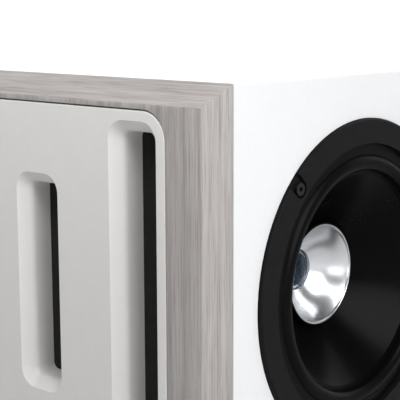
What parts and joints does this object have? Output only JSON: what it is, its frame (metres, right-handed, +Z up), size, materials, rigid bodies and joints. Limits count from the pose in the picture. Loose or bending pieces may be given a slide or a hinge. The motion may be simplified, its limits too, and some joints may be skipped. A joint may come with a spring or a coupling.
{
  "type": "bookshelf speaker",
  "caption": "Wide box loudspeaker: white cabinet, bevelled oak frame round a slotted grey front plate, and a round coaxial driver with a polished waveguide in each side.",
  "frame": {"origin": "under the middle of the whole speaker, on the surface that its feet stand on", "axes": "+X to the speaker's right as seen from the front, +Y to the back, +Z up; the slotted front faces -Y"},
  "size_m": [0.365, 0.321, 0.251],
  "materials": {
    "white_lacquer": "satin lacquer on board",
    "bare_board": "raw board",
    "greyed_oak": "open-pored veneer, matt",
    "warm_grey_plastic": "fine satin moulding",
    "black_cloth": "acoustic cloth",
    "black_cast_metal": "black powder coat",
    "black_rubber": "satin rubber",
    "black_cone": "glossy moulded cone",
    "polished_metal": "polished",
    "blue_dome": "dark blue anodised",
    "coil_wire": "enamelled wire",
    "spider_cloth": "resin-dipped cloth",
    "ferrite": "ferrite",
    "plated_steel": "zinc plated",
    "black_screw": "black oxide",
    "foot_rubber": "matt rubber",
    "black_plastic": "fine texture",
    "gold_plated": "gold plated",
    "red_plastic": "clear red",
    "knob_black_plastic": "gloss black",
    "circuit_board": "solder mask",
    "capacitor_case": "yellow film"
  },
  "bodies": {
    "cabinet": {"bottom_panel": "white_lacquer", "brace": "bare_board", "crossover_board": "circuit_board", "crossover_capacitors": "capacitor_case", "crossover_coils": "coil_wire", "foot_front_left": "foot_rubber", "foot_front_right": "foot_rubber", "foot_rear_left": "foot_rubber", "foot_rear_right": "foot_rubber", "foot_screws": "plated_steel", "front_baffle": "bare_board", "front_frame": "greyed_oak", "grille_cloth": "black_cloth", "left_basket": "black_cast_metal", "left_magnet": "ferrite", "left_panel": "white_lacquer", "left_screws": "black_screw", "left_spider": "spider_cloth", "left_surround": "black_rubber", "left_top_plate": "plated_steel", "left_tweeter_motor": "ferrite", "left_waveguide": "polished_metal", "left_yoke": "plated_steel", "mid_basket": "black_cast_metal", "mid_magnet": "ferrite", "mid_screws": "black_screw", "mid_surround": "black_rubber", "mid_top_plate": "plated_steel", "mid_yoke": "plated_steel", "post_black": "gold_plated", "post_red": "gold_plated", "rear_panel": "white_lacquer", "right_basket": "black_cast_metal", "right_magnet": "ferrite", "right_panel": "white_lacquer", "right_screws": "black_screw", "right_spider": "spider_cloth", "right_surround": "black_rubber", "right_top_plate": "plated_steel", "right_tweeter_motor": "ferrite", "right_waveguide": "polished_metal", "right_yoke": "plated_steel", "slotted_plate": "warm_grey_plastic", "terminal_plate": "black_plastic", "terminal_screws": "black_screw", "top_panel": "white_lacquer"},
    "right_cone_assembly": {"right_cone": "black_cone", "right_voice_coil": "coil_wire"},
    "left_cone_assembly": {"left_cone": "black_cone", "left_voice_coil": "coil_wire"},
    "mid_cone_assembly": {"mid_cone": "black_cone", "mid_voice_coil": "coil_wire", "mid_dust_cap": "black_cone"},
    "right_dome_assembly": {"right_dome": "blue_dome"},
    "left_dome_assembly": {"left_dome": "blue_dome"},
    "red_collar": {"collar_red": "gold_plated"},
    "red_knob": {"knob_red": "red_plastic"},
    "black_collar": {"collar_black": "gold_plated"},
    "black_knob": {"knob_black": "knob_black_plastic"}
  },
  "joints": [
    {"name": "right_cone_travel", "type": "slide", "parent": "cabinet", "child": "right_cone_assembly", "axis": [1, 0, 0], "range_m": [-0.003, 0.003], "stiffness_N_per_m": 1500, "deforming": ["right_surround", "right_spider"]},
    {"name": "right_dome_travel", "type": "slide", "parent": "cabinet", "child": "right_dome_assembly", "axis": [1, 0, 0], "range_m": [-0.0003, 0.0003], "stiffness_N_per_m": 500},
    {"name": "left_cone_travel", "type": "slide", "parent": "cabinet", "child": "left_cone_assembly", "axis": [-1, 0, 0], "range_m": [-0.003, 0.003], "stiffness_N_per_m": 1500, "deforming": ["left_surround", "left_spider"]},
    {"name": "left_dome_travel", "type": "slide", "parent": "cabinet", "child": "left_dome_assembly", "axis": [-1, 0, 0], "range_m": [-0.0003, 0.0003], "stiffness_N_per_m": 500},
    {"name": "mid_cone_travel", "type": "slide", "parent": "cabinet", "child": "mid_cone_assembly", "axis": [0, -1, 0], "range_m": [-0.001, 0.001], "stiffness_N_per_m": 1200, "deforming": ["mid_surround"]},
    {"name": "red_collar_travel", "type": "slide", "parent": "cabinet", "child": "red_collar", "axis": [0, 1, 0], "range_m": [0, 0.0041]},
    {"name": "red_knob_turn", "type": "hinge", "parent": "red_collar", "child": "red_knob", "pos_m": [-0.019, 0.1425, 0.062], "axis": [0, 1, 0], "range_deg": [0, 1800]},
    {"name": "black_collar_travel", "type": "slide", "parent": "cabinet", "child": "black_collar", "axis": [0, 1, 0], "range_m": [0, 0.0041]},
    {"name": "black_knob_turn", "type": "hinge", "parent": "black_collar", "child": "black_knob", "pos_m": [0.019, 0.1425, 0.062], "axis": [0, 1, 0], "range_deg": [0, 1800]}
  ],
  "couplings": [
    {"joint": "red_collar_travel", "follows": "red_knob_turn", "m_per_rad": 0.00012732},
    {"joint": "black_collar_travel", "follows": "black_knob_turn", "m_per_rad": 0.00012732}
  ]
}
